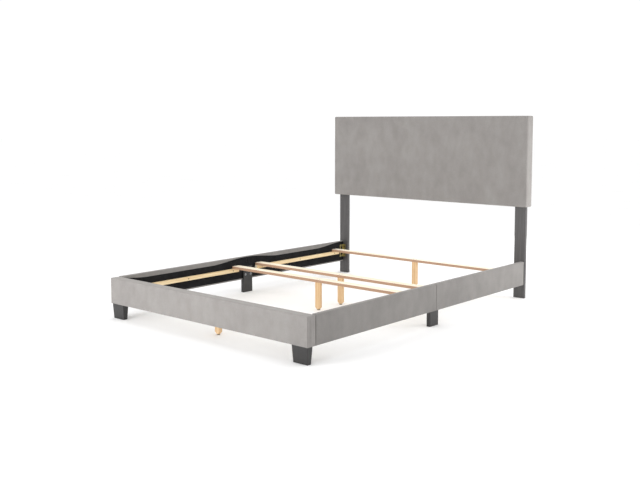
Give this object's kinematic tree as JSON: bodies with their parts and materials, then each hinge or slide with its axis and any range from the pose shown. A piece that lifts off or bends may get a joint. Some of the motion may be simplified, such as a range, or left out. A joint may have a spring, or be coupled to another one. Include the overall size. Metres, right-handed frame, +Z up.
{
  "type": "upholstered headboard bed",
  "caption": "Fabric-covered bed frame with a tall plain headboard on posts, low footboard and side rails, wooden slats on ledgers and centre legs with levellers.",
  "frame": {"origin": "on the floor, under the middle of the whole bed's bounding box", "axes": "+X to the right seen from the foot end, +Y from the foot towards the headboard, +Z up"},
  "size_m": [1.659, 2.199, 1.222],
  "materials": {
    "upholstery": "matte",
    "lining": "matte",
    "foam": "matte",
    "dark_wood": "satin",
    "plywood": "matte",
    "frame_wood": "matte",
    "pine": "matte",
    "bracket_steel": "satin",
    "zinc_bolt": "satin",
    "zinc_screw": "satin",
    "leveller_plastic": "matte"
  },
  "bodies": {
    "root": {"bracket_screws": "zinc_screw", "corner_bracket_foot_left": "bracket_steel", "corner_bracket_foot_right": "bracket_steel", "corner_bracket_head_left": "bracket_steel", "corner_bracket_head_right": "bracket_steel", "foot_hanger_bolts": "zinc_bolt", "footboard_bottom_batten": "frame_wood", "footboard_cover": "upholstery", "footboard_end_block_left": "frame_wood", "footboard_end_block_right": "frame_wood", "footboard_face_board": "plywood", "footboard_foam": "foam", "footboard_lining": "lining", "footboard_top_batten": "frame_wood", "frame_bolts": "zinc_bolt", "front_foot_left": "dark_wood", "front_foot_right": "dark_wood", "headboard_back_lining": "lining", "headboard_bottom_rail": "frame_wood", "headboard_cover": "upholstery", "headboard_face_board": "plywood", "headboard_foam": "foam", "headboard_post_left": "dark_wood", "headboard_post_right": "dark_wood", "headboard_stile_left": "frame_wood", "headboard_stile_right": "frame_wood", "headboard_top_rail": "frame_wood", "ledger_left_front": "pine", "ledger_left_rear": "pine", "ledger_right_front": "pine", "ledger_right_rear": "pine", "leveller_insert_nuts": "zinc_bolt", "mid_leg_left": "dark_wood", "mid_leg_right": "dark_wood", "rail_core_left_front": "frame_wood", "rail_core_left_rear": "frame_wood", "rail_core_right_front": "frame_wood", "rail_core_right_rear": "frame_wood", "rail_cover_left_front": "upholstery", "rail_cover_left_rear": "upholstery", "rail_cover_right_front": "upholstery", "rail_cover_right_rear": "upholstery", "rail_lining_left_front": "lining", "rail_lining_left_rear": "lining", "rail_lining_right_front": "lining", "rail_lining_right_rear": "lining", "slat_1": "pine", "slat_2": "pine", "slat_3": "pine", "slat_4": "pine", "slat_leg_1": "pine", "slat_leg_2": "pine", "slat_leg_3": "pine", "slat_leg_4": "pine", "tee_nuts": "zinc_bolt", "wood_screws": "zinc_screw"},
    "leveller_1": {"leveller_1": "leveller_plastic"},
    "leveller_2": {"leveller_2": "leveller_plastic"},
    "leveller_3": {"leveller_3": "leveller_plastic"},
    "leveller_4": {"leveller_4": "leveller_plastic"}
  },
  "joints": [
    {"name": "leveller_1_height", "type": "slide", "parent": "root", "child": "leveller_1", "axis": [0, 0, 1], "range_m": [-0.012, 0.001]},
    {"name": "leveller_2_height", "type": "slide", "parent": "root", "child": "leveller_2", "axis": [0, 0, 1], "range_m": [-0.012, 0.001]},
    {"name": "leveller_3_height", "type": "slide", "parent": "root", "child": "leveller_3", "axis": [0, 0, 1], "range_m": [-0.012, 0.001]},
    {"name": "leveller_4_height", "type": "slide", "parent": "root", "child": "leveller_4", "axis": [0, 0, 1], "range_m": [-0.012, 0.001]}
  ]
}
